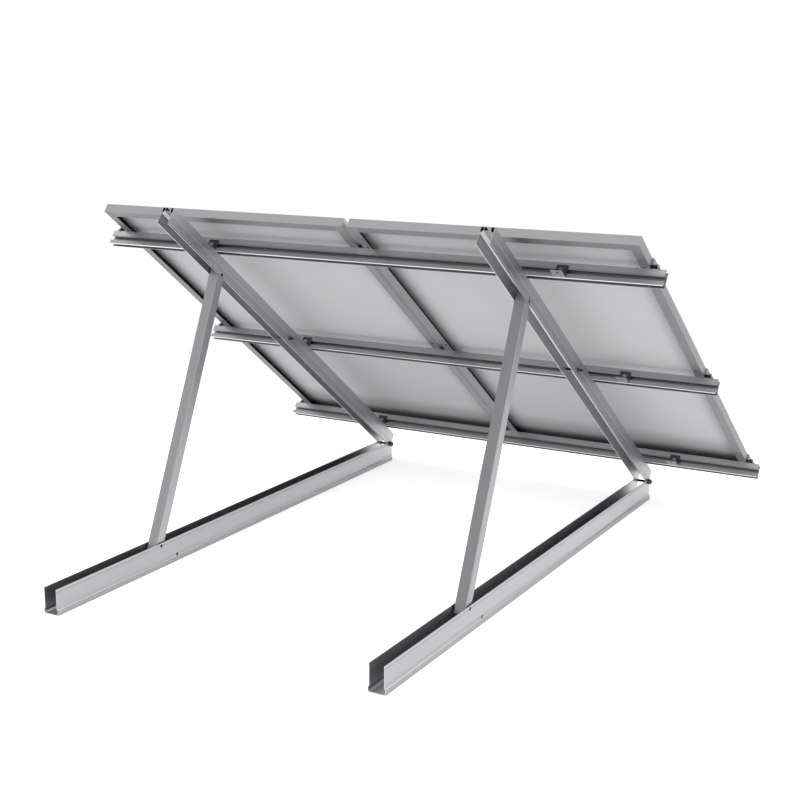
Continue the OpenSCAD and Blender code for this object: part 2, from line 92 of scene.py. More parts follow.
LEG_TOP = middle("leg_top_bolts")
LEG_LEAN = math.atan2(LEG_TOP.y - LEG_FOOT.y, LEG_TOP.z - LEG_FOOT.z)


def slope_place(x, a, b):
    """Matrix of the slope's axes at a point: X, down the slope, out of the panels."""
    turn = Matrix.Rotation(-SLOPE, 4, "X")
    return Matrix.Translation(Vector((0, PIVOT.y, PIVOT.z))) @ turn @ Matrix.Translation(Vector((x, a, b)))


def cross_place(x, y, z, way=1):
    """Matrix that puts local Z along X, or against it where way is -1, starting at a point."""
    along = Vector((way, 0, 0))
    side = Vector((0, 0, 1)).cross(along)
    turn = Matrix((side, along.cross(side), along)).transposed().to_4x4()
    return Matrix.Translation(Vector((x, y, z))) @ turn


# Painted shade on the sides of a panel frame, by facing: how much darker its back flange and its right side are
# painted
FRAME_SIDE_SHADES = ((2, -2, -0.9, 0.64), (0, 0.9, 2, 0.8))

# Painted shade inside a hole: how dark its bore is painted
HOLE_SHADE = 0.03

# Colour of the background
WHITE = (1, 1, 1, 1)

# Glass over the panels' fronts
GLASS = {"Coat Weight": 1.0, "Coat Roughness": 0.06, "Coat IOR": 1.5}


# Shader expressions


class Wire:
    """A shader socket that takes part in arithmetic: each operation adds one Math node."""

    def __init__(self, finish, socket):
        self.finish = finish
        self.socket = socket

    def _math(self, operation, first, second=None):
        sockets = {0: first} if second is None else {0: first, 1: second}
        return self.finish.add("ShaderNodeMath", {"operation": operation}, sockets)

    def __add__(self, other):
        return self._math("ADD", self, other)

    def __radd__(self, other):
        return self._math("ADD", other, self)

    def __sub__(self, other):
        return self._math("SUBTRACT", self, other)

    def __rsub__(self, other):
        return self._math("SUBTRACT", other, self)

    def __mul__(self, other):
        return self._math("MULTIPLY", self, other)

    def __rmul__(self, other):
        return self._math("MULTIPLY", other, self)

    def __gt__(self, other):
        return self._math("GREATER_THAN", self, other)

    def __lt__(self, other):
        return self._math("LESS_THAN", self, other)

    def __abs__(self):
        return self._math("ABSOLUTE", self)

    def least(self, other):
        """Smaller of two values."""
        return self._math("MINIMUM", self, other)

    def most(self, other):
        """Larger of two values."""
        return self._math("MAXIMUM", self, other)

    def wave(self):
        """Sine of the value."""
        return self._math("SINE", self)

    def root(self):
        """Square root of the value."""
        return self._math("SQRT", self)

    def part(self):
        """Fraction of the value, from 0 to 1."""
        return self._math("FRACT", self)


class Finish:
    """One procedural material, or the world, while it is put together."""

    def __init__(self, name, world=False):
        self.material = (bpy.data.worlds if world else bpy.data.materials).new(name)
        self.material.use_nodes = True
        self.tree = self.material.node_tree
        self.tree.nodes.clear()
        self.output = self.tree.nodes.new("ShaderNodeOutputWorld" if world else "ShaderNodeOutputMaterial")

    def add(self, kind, settings=None, sockets=None, out=0):
        """Adds a node of a type, sets it up, fills its sockets and returns one output."""
        node = self.tree.nodes.new(kind)
        for name, value in (settings or {}).items():
            if name == "stops":
                ramp = node.color_ramp
                while len(ramp.elements) < len(value):
                    ramp.elements.new(0.5)
                for element, (place, colour) in zip(ramp.elements, value):
                    element.position = place
                    element.color = (*colour, 1) if len(colour) == 3 else colour
            else:
                setattr(node, name, value)
        for key, value in (sockets or {}).items():
            socket = node.inputs[key]
            if isinstance(value, Wire):
                self.tree.links.new(value.socket, socket)
            else:
                socket.default_value = value
        return Wire(self, node.outputs[out])

    def turned(self, vector, turn):
        """Vector turned about X, so that a sloping piece lies straight."""
        if turn:
            return self.add("ShaderNodeVectorRotate", {"rotation_type": "X_AXIS"}, {"Vector": vector, "Angle": turn})
        return vector

    def place(self, turn=0.0):
        """Place on the object in metres, turned with the piece."""
        return self.turned(self.add("ShaderNodeTexCoord", out="Object"), turn)

    def facing(self, turn=0.0):
        """Surface direction, turned in the same way as the place."""
        return self.turned(self.add("ShaderNodeNewGeometry", out="True Normal"), turn)

    def scaled(self, vector, scale):
        """Vector times a vector of plain numbers."""
        return self.add("ShaderNodeVectorMath", {"operation": "MULTIPLY"}, {0: vector, 1: scale})

    def axes(self, vector):
        """The three numbers of a vector."""
        node = self.add("ShaderNodeSeparateXYZ", sockets={0: vector}).socket.node
        return [Wire(self, output) for output in node.outputs]

    def noise(self, vector, scale=1.0, detail=2.0, rough=0.5):
        """Smooth noise from 0 to 1."""
        sockets = {"Vector": vector, "Scale": scale, "Detail": detail, "Roughness": rough}
        return self.add("ShaderNodeTexNoise", sockets=sockets)

    def mix(self, first, second, share):
        """One colour turning into another."""
        return self.add("ShaderNodeMix", {"data_type": "RGBA"}, {0: share, 6: first, 7: second}, out=2)

    def band(self, value, low, high):
        """Smooth step from 0 at low to 1 at high."""
        return self.add(
            "ShaderNodeMapRange",
            {"interpolation_type": "SMOOTHSTEP"},
            {"Value": value, "From Min": low, "From Max": high},
        )

    def bump(self, height, strength, distance):
        """Normal from a height."""
        return self.add("ShaderNodeBump", sockets={"Height": height, "Strength": strength, "Distance": distance})

    def seen(self):
        """Whether the background is looked at, straight or by way of metal or glass."""
        path = self.add("ShaderNodeLightPath").socket.node
        rays = ("Is Camera Ray", "Is Glossy Ray", "Is Transmission Ray")
        camera, glossy, through = (Wire(self, path.outputs[ray]) for ray in rays)
        return camera.most(glossy).most(through)

    def close(self, shader):
        """Links the last shader and returns the material or world."""
        self.tree.links.new(shader.socket, self.output.inputs["Surface"])
        return self.material

    def surface(self, **sockets):
        """Closes the material with one principled shader."""
        return self.close(self.add("ShaderNodeBsdfPrincipled", sockets=sockets))


def from_panel_edge(finish, spot):
    """Distance of a turned place from the nearest edge of its panel, in metres."""
    across, along = finish.axes(spot)[:2]
    top_end = PIVOT_ALONG + PANEL_A
    sides = (abs(across) - PANEL_X).least(PANEL_X + PANEL_W - abs(across))
    return sides.least(along - top_end).least(top_end + PANEL_LEN - along)


def from_rafter_middle(finish, spot):
    """Distance across from the middle of the nearest rafter and channel, in metres."""
    centre, half = (RAFTER_X[0] + RAFTER_X[1]) / 2, (RAFTER_X[1] - RAFTER_X[0]) / 2
    return abs(abs(finish.axes(spot)[0] - centre) - half)


def at_clamp(finish, spot):
    """Whether a turned place lies beside one of the clamps, along the panels."""
    along = (finish.axes(spot)[1] - (PIVOT_ALONG + RAIL_A[0] + RAIL_MIDDLE - CLAMP_LEN / 2)) * (1 / RAIL_PITCH)
    return along.part() < CLAMP_LEN / RAIL_PITCH


def in_bore(where, y, z, radius):
    """Whether a place lies within a radius of a hole that runs along X."""
    across, up = where[1] - y, where[2] - z
    return across * across + up * up < radius * radius


def channel_painted_light_and_shade(f, spot, where, facing):
    """Painted light and shade on a base channel: painted shade on its inside, lighter toward its two ends, painted
    light on the left channel's slanted foot, outer walls a little darker at the near end and lighter toward the far
    end, and painted shade in its holes.
    """
    inside = from_rafter_middle(f, spot) < 24.5 * MM
    walls = inside * (abs(facing[0]) > 0.9)
    plain = (1 - inside) * (facing[0] > 0.9) * (where[2] > 23 * MM) * (where[2] < 76.6 * MM)
    right = where[0] > 0
    near = 1 - f.band(where[1], -1.09, -0.95)
    yield 2.1, (1 - inside) * (1 - right) * (facing[2] > 0.6) * (facing[2] < 0.9)
    yield 0.94, plain * (1 - f.band(where[1], -1.0, -0.3))
    yield 1.14, plain * f.band(where[1], -0.3, 0.9)
    yield 0.66, walls
    yield 0.8, walls * right
    yield 0.95, walls * right * (1 - f.band(where[1], -0.5, 0.2))
    yield 1.1, walls * near * (1 - f.band(where[2], 15 * MM, 60 * MM))
    yield 1.5, walls * f.band(where[1], 0.8, 0.94)
    yield 0.5, inside * (facing[2] > 0.3)
    yield 1.5, inside * (facing[2] > 0.9) * near
    yield 2.1, inside * (facing[2] > 0.3) * (facing[2] < 0.9) * near
    spare = (PIVOT.y - 1531 * MM, 23.5 * MM, 5.4 * MM)
    for y, z, radius in (spare, (LEG_FOOT.y, LEG_FOOT.z, 6.2 * MM), (PIVOT.y, PIVOT.z, 5.5 * MM)):
        yield HOLE_SHADE, in_bore(where, y, z, radius)


def rafter_painted_light_and_shade(f, spot, where, facing):
    """Painted light and shade on a rafter: painted light on its left side, upper parts and insides, a darker lower
    band, painted highlights on two lines along its sides and on its bright lower edges, near black painted shade
    inside its top slot, and painted shade in its holes.
    """
    inside = from_rafter_middle(f, spot) < 22.5 * MM
    above = where[2] - PIVOT_ABOVE
    upright = abs(facing[0]) > 0.9
    left = where[0] < 0
    yield 1.2, left * upright
    yield 0.75, upright * (above < -4.5 * MM)
    for low, factor in ((-3.3, 2.1), (22.2, 2.0)):
        yield factor, upright * (above > low * MM) * (above < (low + 1.8) * MM)
    yield 1.12, upright * (above > 26 * MM) * (1 - left)
    yield 1.33, upright * (above > 26 * MM) * left
    yield 1.45, inside * upright
    yield 1.2, inside * upright * left
    yield 2.2, (facing[2] < -0.95) * (above < -8 * MM)
    yield 0.04, inside * (above > 30 * MM) * ((facing[2] > -0.4) + (above > 51 * MM) > 0.5)
    for a, b, radius in ((-993 * MM, 15 * MM, 4.5 * MM), (-1518 * MM, 0.0, 6.2 * MM), (0.0, 0.0, 5.5 * MM)):
        yield HOLE_SHADE, in_bore(where, PIVOT_ALONG + a, PIVOT_ABOVE + b, radius)


def leg_painted_light_and_shade(f, spot, where, facing):
    """Painted shade on the backs of the two legs, and painted light on the lower part of the left one's side."""
    back = facing[1] < -0.9
    left = where[0] < 0
    yield 0.78, back * left
    yield 0.54, back * (1 - left)
    yield 1.2, (facing[0] > 0.9) * left * (1 - f.band(where[2], 0.2, 0.5))


def rail_painted_light_and_shade(f, spot, where, facing):
    """Painted light and shade on a rail: lighter upper part of the up-slope face on the top and bottom rails, darker
    lower part of it on the bottom rail, and painted shade inside its side slot and its open underside.
    """
    depth = ((where[1] - (PIVOT_ALONG + RAIL_A[0] - 1 * MM)) * (1 / RAIL_PITCH)).part() * RAIL_PITCH - 1 * MM
    above = where[2] - (PIVOT_ABOVE + RAFTER_TOP)
    along = where[1] - (PIVOT_ALONG + RAIL_A[1])
    upper = (facing[1] < -0.9) * (depth < 0.3 * MM) * (above > 34 * MM)
    yield 1.08, upper * (along < -0.38)
    yield 1.03, upper * (along > 0.38)
    yield 0.8, (facing[1] < -0.9) * (depth < 0.3 * MM) * (above < 12 * MM) * (along > 0.38)
    yield 0.66, (depth > 0.3 * MM) * (depth < 13.6 * MM) * (above > 10.3 * MM) * (above < 34.2 * MM)
    yield 0.5, (depth > 15 * MM) * (depth < 24.5 * MM) * (above < 9 * MM)


def tone(colour, factor=1.0):
    """Colour with an alpha, made darker or lighter."""
    return (*(min(1.0, c * factor) for c in colour), 1.0)


# Finishes


def drawn_aluminium(name, colour, turn=0.0, length_axis=0, rough=0.42, sides=(), belts=(), painted_light_and_shade=None, cut_tone=1.05):
    """Extruded aluminium: die lines along its length, soft clouds, bright sawn ends, and painted light and shade.

    Each side is an axis, the least and the greatest part of the surface's direction that lies
    along it, and how much lighter or darker that side is painted, as painted light and shade by
    facing. Each belt is an axis, its two limits along it and its painted shade on the upright walls.
    The function given last takes the finish, the place and the surface's direction, and gives
    further painted light and shade, each with where it holds.
    """
    f = Finish(name)
    spot = f.place(turn)
    where = f.axes(spot)
    across = [900.0, 900.0, 900.0]
    across[length_axis] = 3.0
    broad = [70.0, 70.0, 70.0]
    broad[length_axis] = 0.8
    die = f.noise(f.scaled(spot, across), 1.0, 2.0, 0.6)
    streak = f.noise(f.scaled(spot, broad), 1.0, 3.0, 0.55)
    cloud = f.noise(spot, 7.0, 4.0, 0.55)
    grain = f.noise(spot, 1800.0, 1.0)
    facing = f.axes(f.facing(turn))
    ends = abs(facing[length_axis]) > 0.9
    upright = abs(facing[0]) > 0.9
    ring = where[(length_axis + 1) % 3] + f.noise(spot, 30.0, 1.0) * 0.004
    saw = ((ring * 5200.0).wave() * 0.5 + 0.5) * 0.6 + grain * 0.4
    share = f.band(die * 0.45 + streak * 0.35 + cloud * 0.2, 0.36, 0.64)

    def shade(factor):
        return f.mix(tone(colour, 0.96 * factor), tone(colour, 1.04 * factor), share)

    skin = shade(1.0)
    for axis, low, high, factor in sides:
        skin = f.mix(skin, shade(factor), (facing[axis] > low) * (facing[axis] < high))
    for axis, low, high, factor in belts:
        skin = f.mix(skin, shade(factor), (where[axis] > low) * (where[axis] < high) * upright)
    for factor, share_here in painted_light_and_shade(f, spot, where, facing) if painted_light_and_shade else ():
        skin = f.mix(skin, shade(factor), share_here)
    cut = f.mix(tone(colour, cut_tone), tone(colour, 1.2 * cut_tone), saw)
    body_rough = rough - 0.07 + streak * 0.08 + die * 0.05 + cloud * 0.05
    end_rough = 0.3 + saw * 0.12
    height = (die * 0.7 + grain * 0.3) * (1 - ends) + saw * ends
    return f.surface(
        **{
            "Base Color": f.mix(skin, cut, ends),
            "Roughness": body_rough * (1 - ends) + end_rough * ends,
            "Metallic": 1.0,
            "Normal": f.bump(height, 0.16, 0.00004),
        }
    )


def anodised_aluminium(name, colour, turn=0.0, length_axis=0, rough=0.46, sides=(), hollow=False, under=False):
    """Clear anodised aluminium: an even satin with a very fine grain, with painted shade by facing, inside a frame,
    under a clamp and in a frame's holes, and painted light on the frame walls between the panels.
    """
    f = Finish(name)
    spot = f.place(turn)
    across = [1500.0, 1500.0, 1500.0]
    across[length_axis] = 12.0
    brush = f.noise(f.scaled(spot, across), 1.0, 2.0, 0.5)
    grain = f.noise(spot, 2600.0, 1.0)
    cloud = f.noise(spot, 5.0, 5.0, 0.6)
    marks = f.band(f.noise(spot, 26.0, 5.0, 0.7), 0.6, 0.78)
    facing = f.axes(f.facing(turn))
    share = f.band(brush * 0.5 + cloud * 0.5, 0.35, 0.65)

    def shade(factor):
        return f.mix(tone(colour, 0.95 * factor), tone(colour, 1.05 * factor), share)

    skin = shade(1.0)
    for axis, low, high, factor in sides:
        skin = f.mix(skin, shade(factor), (facing[axis] > low) * (facing[axis] < high))
    cut = f.mix(skin, tone(colour, 1.15), abs(facing[length_axis]) > 0.9)
    above = f.axes(spot)[2] - (PIVOT_ABOVE + RAIL_TOP)
    # Painted shade on a clamp's faces under its plate, near the panel's outer edge.
    if under:
        side = abs(f.axes(spot)[0]) - (PANEL_X + PANEL_W)
        cut = f.mix(cut, tone(colour, 0.1), (side < 24 * MM) * (above < CLAMP_SEAT) * (abs(facing[1]) < 0.9))
    # Painted shade inside the frame's hollow, where light does not reach.
    if hollow:
        inside = (from_panel_edge(f, spot) > 1.2 * MM) * (above > 1.2 * MM) * (above < 25 * MM)
        cut = f.mix(cut, tone(colour, 0.1), inside)
        x, along = f.axes(spot)[:2]
        back = facing[2] < -0.9
        # Painted light on the frame walls in the gap between the panels; painted shade on the back flanges beside the
        # gap and at the left outer edge, and on the right outer side toward the low end.
        cut = f.mix(cut, tone(colour, 1.25), abs(x) < PANEL_X + 0.5 * MM)
        cut = f.mix(cut, tone(colour, 0.72), back * (abs(x) < PANEL_X + 33 * MM))
        cut = f.mix(cut, tone(colour, 0.55), back * (x < 33 * MM - PANEL_X - PANEL_W))
        cut = f.mix(cut, tone(colour, 0.66), (facing[0] > 0.9) * (x > 1.0) * f.band(along - PIVOT_ALONG, -0.9, -0.3))
        # Painted shadow on the frames' outer walls under the clamps.
        outer = abs(x) > PANEL_X + PANEL_W - 0.2 * MM
        cut = f.mix(cut, tone(colour, 0.08), outer * (above < CLAMP_SEAT) * at_clamp(f, spot))
        # Painted shade of the frames' holes: dark within 5 mm of each hole's axis.
        from_half = abs(along - (PIVOT_ALONG + PANEL_A + PANEL_LEN / 2))
        first, second, third = (abs(from_half - hole * MM) for hole in (58, 651, 774))
        hole_a = first.least(second).least(third)
        hole_x = abs(abs(x) - (PANEL_X + 20 * MM)).least(abs(abs(x) - (PANEL_X + PANEL_W - 20 * MM)))
        cut = f.mix(cut, tone(colour, 0.06), hole_a * hole_a + hole_x * hole_x < (5 * MM) ** 2)
    return f.surface(
        **{
            "Base Color": cut,
            "Roughness": rough - 0.05 + brush * 0.06 + cloud * 0.05 - marks * 0.05,
            "Metallic": 1.0,
            "Normal": f.bump(brush * 0.6 + grain * 0.4, 0.12, 0.00003),
        }
    )


def plain_steel(name, colour, rough=0.3):
    """Stainless or zinc steel: turned lines, small scratches and clouded roughness."""
    f = Finish(name)
    spot = f.place()
    grain = f.noise(spot, 1400.0, 3.0, 0.6)
    cloud = f.noise(spot, 120.0, 4.0, 0.6)
    scratch = f.band(f.noise(f.scaled(spot, (300.0, 2200.0, 900.0)), 1.0, 4.0, 0.7), 0.58, 0.72)
    skin = f.mix(tone(colour, 0.85), tone(colour, 1.12), f.band(cloud * 0.6 + grain * 0.4, 0.38, 0.62))
    return f.surface(
        **{
            "Base Color": f.mix(skin, tone(colour, 1.3), scratch * 0.35),
            "Roughness": rough - 0.06 + cloud * 0.14 + grain * 0.06,
            "Metallic": 1.0,
            "Normal": f.bump(grain * 0.7 + scratch * 0.3, 0.18, 0.00003),
        }
    )


def black_coat(name, colour):
    """Black coated steel: an orange peel skin, rubbed a little lighter in places."""
    f = Finish(name)
    spot = f.place()
    peel = f.noise(spot, 900.0, 2.0, 0.5)
    rub = f.band(f.noise(spot, 160.0, 5.0, 0.65), 0.58, 0.74)
    return f.surface(
        **{
            "Base Color": f.mix(tone(colour), tone(colour, 2.6), rub * 0.6),
            "Roughness": 0.42 + peel * 0.12 - rub * 0.08,
            "Specular IOR Level": 0.15,
            "Normal": f.bump(peel, 0.2, 0.00005),
        }
    )


def back_sheet(name, colour):
    """White back sheet of a panel: matt film with the cells and ribbons pressing through it, with painted shade:
    darker near its edges and toward its top end, and near black at its low end.
    """
    f = Finish(name)
    spot = f.place(SLOPE)
    fibre = f.noise(spot, 420.0, 4.0, 0.6)
    cloud = f.noise(spot, 3.0, 4.0, 0.5)
    quilt = f.noise(f.scaled(spot, (22.0, 9.0, 9.0)), 1.0, 3.0, 0.5)
    skin = f.mix(tone(colour, 0.95), tone(colour, 1.03), f.band(cloud * 0.6 + fibre * 0.4, 0.35, 0.65))
    down = f.axes(spot)[1] - (PIVOT_ALONG + PANEL_A)
    # Painted shade near the edges of the sheet, under the frame.
    edge = f.band(from_panel_edge(f, spot), 15 * MM, 105 * MM) * 0.36 + 0.64
    # Painted shadow at the low end, where the sheet turns near black.
    low_end_shade = f.band(down, PANEL_LEN - 207 * MM, PANEL_LEN - 122 * MM) * 0.6
    low_end_shade = low_end_shade + f.band(down, PANEL_LEN - 337 * MM, PANEL_LEN - 177 * MM) * 0.4
    edge = edge * (1 - low_end_shade)
    # Painted shade toward the top end, lighter down the slope.
    slow = {"Value": down, "From Min": 0.0, "From Max": 1.3, "To Min": 0.6, "To Max": 1.0}
    light = f.add("ShaderNodeMapRange", sockets=slow) * f.band(down, -0.15, 0.28)
    lit = f.mix(tone(colour, 0.55), tone(colour, 1.0), light)
    return f.surface(
        **{
            "Base Color": f.mix(tone(colour, 0.01), f.mix(lit, skin, 0.25), edge),
            "Roughness": 0.5 + fibre * 0.12 + quilt * 0.06,
            "Specular IOR Level": 0.05,
            "Normal": f.bump(fibre * 0.3 + quilt * 0.7, 0.14, 0.0006),
        }
    )


def silicon_cell(name, colour):
    """Single crystal cell under glass: near black blue, with fine silver fingers across it."""
    f = Finish(name)
    spot = f.place(SLOPE)
    finger = (f.axes(spot)[1] * (1000.0 / 1.9)).part() < 0.09
    patch = f.noise(spot, 14.0, 3.0, 0.6)
    speck = f.noise(spot, 900.0, 2.0, 0.5)
    skin = f.mix(tone(colour, 0.75), tone(colour, 1.5), f.band(patch * 0.75 + speck * 0.25, 0.35, 0.65))
    return f.surface(
        **{
            "Base Color": f.mix(skin, (0.42, 0.44, 0.47, 1), finger * 0.45),
            "Roughness": 0.32 + speck * 0.12,
            "Metallic": 0.0,
            "Normal": f.bump(speck, 0.05, 0.00005),
            **GLASS,
        }
    )


def cell_ground(name, colour):
    """White film seen between the cells, under the same glass."""
    f = Finish(name)
    spot = f.place(SLOPE)
    fibre = f.noise(spot, 500.0, 3.0, 0.6)
    return f.surface(
        **{
            "Base Color": f.mix(tone(colour, 0.93), tone(colour, 1.02), fibre),
            "Roughness": 0.5 + fibre * 0.1,
            "Normal": f.bump(fibre, 0.05, 0.00005),
            **GLASS,
        }
    )


def tinned_ribbon(name, colour):
    """Tinned copper ribbon under glass."""
    f = Finish(name)
    spot = f.place(SLOPE)
    pull = f.noise(f.scaled(spot, (2000.0, 40.0, 200.0)), 1.0, 3.0, 0.6)
    return f.surface(
        **{
            "Base Color": f.mix(tone(colour, 0.8), tone(colour, 1.1), pull),
            "Roughness": 0.3 + pull * 0.15,
            "Metallic": 0.8,
            **GLASS,
        }
    )


# Mesh making


def settle(bm, name, materials, smooth=True):
    """Turns a bmesh into an object of the scene that rides on the rack."""
    bmesh.ops.recalc_face_normals(bm, faces=bm.faces)
    mesh = bpy.data.meshes.new(name)
    bm.to_mesh(mesh)
    bm.free()
    for material in materials:
        mesh.materials.append(material)
    if smooth:
        for face in mesh.polygons:
            face.use_smooth = True
        mesh.set_sharp_from_angle(angle=math.radians(32))
    piece = bpy.data.objects.new(name, mesh)
    bpy.context.scene.collection.objects.link(piece)
    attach(piece, "root")
    return piece


def fit(bm, node, finish):
    """Settles a detailed piece in the place of its CAD node."""
    piece = settle(bm, f"{node}_detailed", [finish])
    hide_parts(node)


def ring_stack(bm, rings, place, close_first=True, close_last=True):
    """Skins a stack of rings, each a list of points with the same count."""
    rows = [[bm.verts.new(place @ Vector(point)) for point in ring] for ring in rings]
    count = len(rows[0])
    for lower, upper in zip(rows, rows[1:]):
        for i in range(count):
            j = (i + 1) % count
            bm.faces.new((lower[i], lower[j], upper[j], upper[i]))
    if close_first:
        bm.faces.new(list(reversed(rows[0])))
    if close_last:
        bm.faces.new(rows[-1])
    return rows


def circle(radius, z, count=48):
    """Ring of points round the Z axis."""
    return [
        (radius * math.cos(2 * math.pi * i / count), radius * math.sin(2 * math.pi * i / count), z)
        for i in range(count)
    ]


def hex_radius(flats, angle):
    """Distance from the middle of a hexagon to its edge."""
    return flats / 2 / math.cos((angle + math.pi / 6) % (math.pi / 3) - math.pi / 6)


def hex_ring(flats, z_of, count=48):
    """Ring round a hexagon, whose height may follow its radius."""
    points = []
    for i in range(count):
        angle = 2 * math.pi * i / count
        radius = hex_radius(flats, angle)
        z = z_of(radius) if callable(z_of) else z_of
        points.append((radius * math.cos(angle), radius * math.sin(angle), z))
    return points


def hex_body(bm, place, flats, height, hole=0.0):
    """Bolt head with its upper corners turned down at 30 degrees, or a nut, with a hole, on both ends."""
    slope = math.tan(math.radians(30))
    face = flats / 2 * 0.95

    def corner(radius):
        """How far a corner is turned down."""
        return max(0.0, radius - face) * slope

    upper = [hex_ring(flats, lambda radius: height - corner(radius)), circle(face, height)]
    if hole:
        lower = [circle(hole * 1.12, 0.0), circle(face, 0.0), hex_ring(flats, corner)]
        bore = [circle(hole * 1.12, height), circle(hole, height - 0.08 * hole), circle(hole, 0.0)]
        ring_stack(bm, lower + upper + bore, place, False, False)
    else:
        ring_stack(bm, [hex_ring(flats, 0.0)] + upper, place)


def threaded_rod(bm, place, radius, end, pitch):
    """Rod with a real helical thread and a chamfered tip at its end."""
    count = 32
    rows = max(2, math.ceil(end / pitch * 6))
    depth = 0.55 * pitch
    rings = []
    for row in range(rows + 1):
        z = end * row / rows
        ring = []
        for i in range(count):
            turn = i / count
            phase = (z / pitch - turn) % 1.0
            cut = depth * (1 - abs(2 * phase - 1)) * 0.9
            tip = max(0.0, (z - (end - 0.8 * pitch))) * 0.9
            r = radius - max(cut, tip)
            ring.append((r * math.cos(2 * math.pi * turn), r * math.sin(2 * math.pi * turn), z))
        rings.append(ring)
    ring_stack(bm, rings, place)


def washer_body(bm, place, outer, hole, height):
    """Flat washer with softly pressed edges."""
    e = min(0.3 * MM, height / 4)
    profile = [
        (hole, e), (hole + e, 0), (outer - e, 0), (outer, e),
        (outer, height - e), (outer - e, height), (hole + e, height), (hole, height - e), (hole, e),
    ]
    ring_stack(bm, [circle(r, z) for r, z in profile], place, False, False)
    bmesh.ops.remove_doubles(bm, verts=bm.verts, dist=1e-7)


def cap_screw_head(bm, place, radius, height, flats):
    """Socket head: knurled side, rounded rim and a hexagonal socket."""
    count = 72

    def knurl(z):
        """Ring of the grip, in and out by turns."""
        outer, inner = circle(radius, z, count), circle(radius - 0.12 * MM, z, count)
        return [inner[i] if i % 2 else outer[i] for i in range(count)]

    rings = [
        circle(radius - 0.3 * MM, 0, count), knurl(0.3 * MM), knurl(height - 0.9 * MM),
        circle(radius - 0.35 * MM, height - 0.35 * MM, count), circle(radius - 0.9 * MM, height, count),
        circle(flats / 2 * 1.25, height, count), hex_ring(flats, height - 0.4 * MM, count),
        hex_ring(flats, height * 0.45, count),
    ]
    ring_stack(bm, rings, place)


def slot_block(bm, place, size):
    """Slot nut or hammer head: a block with eased edges, made from four stacked outlines."""
    x, y, z = size
    ease = 0.6 * MM

    def outline(inset, height):
        """Oblong ring with cut corners."""
        hx, hy, c = x / 2 - inset, y / 2 - inset, 1.6 * MM
        return [
            (hx - c, -hy, height), (hx, -hy + c, height), (hx, hy - c, height), (hx - c, hy, height),
            (-hx + c, hy, height), (-hx, hy - c, height), (-hx, -hy + c, height), (-hx + c, -hy, height),
        ]

    ring_stack(bm, [outline(ease, 0), outline(0, ease), outline(0, z - ease), outline(ease, z)], place)


def panel_sheet(bm, x0, width, length, back, front, settings):
    """Panel laminate: closed sheet, with cells and ribbons laid on its front as faces of their own."""
    inset = 1.8 * MM

    def spot(x, a, b):
        """Place from distances across, down the slope and out of the rails."""
        return slope_place(0, 0, 0) @ Vector((x, PANEL_A + a, RAIL_TOP + b))

    def lay(points, height, index):
        """Lays one face on the front, just under the glass."""
        face = bm.faces.new([bm.verts.new(spot(x, y, height)) for x, y in points])
        face.material_index = index

    def strip(left, right, top, end):
        """Lays one straight ribbon."""
        lay([(left, top), (right, top), (right, end), (left, end)], front - 0.03 * MM, 3)

    xs = (x0 + inset, x0 + width - inset)
    ys = (inset, length - inset)
    ground = front - 0.1 * MM
    corners = [(xs[0], ys[0]), (xs[1], ys[0]), (xs[1], ys[1]), (xs[0], ys[1])]
    lower = [bm.verts.new(spot(x, y, back)) for x, y in corners]
    upper = [bm.verts.new(spot(x, y, ground)) for x, y in corners]
    bm.faces.new(list(reversed(lower))).material_index = 0
    bm.faces.new(upper).material_index = 1
    for i in range(4):
        j = (i + 1) % 4
        bm.faces.new((lower[i], lower[j], upper[j], upper[i])).material_index = 0
    cell, gap, c = settings.cell_size, settings.cell_gap, settings.cell_chamfer
    columns, rows = settings.cell_columns, settings.cell_rows
    pitch = cell + gap
    start_x = x0 + width / 2 - (columns * pitch - gap) / 2
    start_y = length / 2 - (rows * pitch - gap) / 2
    for column in range(columns):
        for row in range(rows):
            x, y = start_x + column * pitch, start_y + row * pitch
            outline = [
                (x + c, y), (x + cell - c, y), (x + cell, y + c), (x + cell, y + cell - c),
                (x + cell - c, y + cell), (x + c, y + cell), (x, y + cell - c), (x, y + c),
            ]
            lay(outline, front - 0.06 * MM, 2)
        for bar in range(settings.ribbons):
            mid = start_x + column * pitch + cell * (bar + 0.5) / settings.ribbons
            half = 0.75 * MM
            end = 9 * MM
            strip(mid - half, mid + half, start_y - end, length - start_y + end)
    for y in (start_y - 12 * MM, length - start_y + 7 * MM):
        strip(start_x + 8 * MM, x0 + width - (start_x - x0) - 8 * MM, y, y + 5 * MM)


# Settings


def colour_setting(name, description, default):
    """One colour that a user may change."""
    return FloatVectorProperty(
        name=name, description=description, subtype="COLOR", default=default, min=0, max=1)


class RackColours(bpy.types.PropertyGroup):
    """Colours of the rack's finishes."""

    channel: colour_setting("Base channels", "Colour of the base channels", (0.47, 0.47, 0.48))
    rafter: colour_setting("Rafters", "Colour of the rafters", (0.385, 0.385, 0.395))
    leg: colour_setting("Legs", "Colour of the legs", (0.39, 0.39, 0.4))
    rail: colour_setting("Rails", "Colour of the rails", (0.5, 0.5, 0.51))
    frames: colour_setting("Panel frames", "Colour of the panel frames", (0.4, 0.4, 0.41))
    clamp: colour_setting("Clamps", "Colour of the clamps", (0.29, 0.29, 0.3))
    bracket: colour_setting("Brackets", "Colour of the brackets", (0.24, 0.24, 0.25))
    steel: colour_setting("Steel", "Colour of the plain fasteners", (0.42, 0.42, 0.43))
    black: colour_setting("Black steel", "Colour of the coated bolts", (0.012, 0.012, 0.013))
    sheet: colour_setting("Back sheet", "Colour of the panels' backs", (0.84, 0.84, 0.85))
    cell: colour_setting("Cells", "Colour of the solar cells", (0.006, 0.009, 0.022))
    ribbon: colour_setting("Ribbons", "Colour of the cell ribbons", (0.6, 0.6, 0.6))


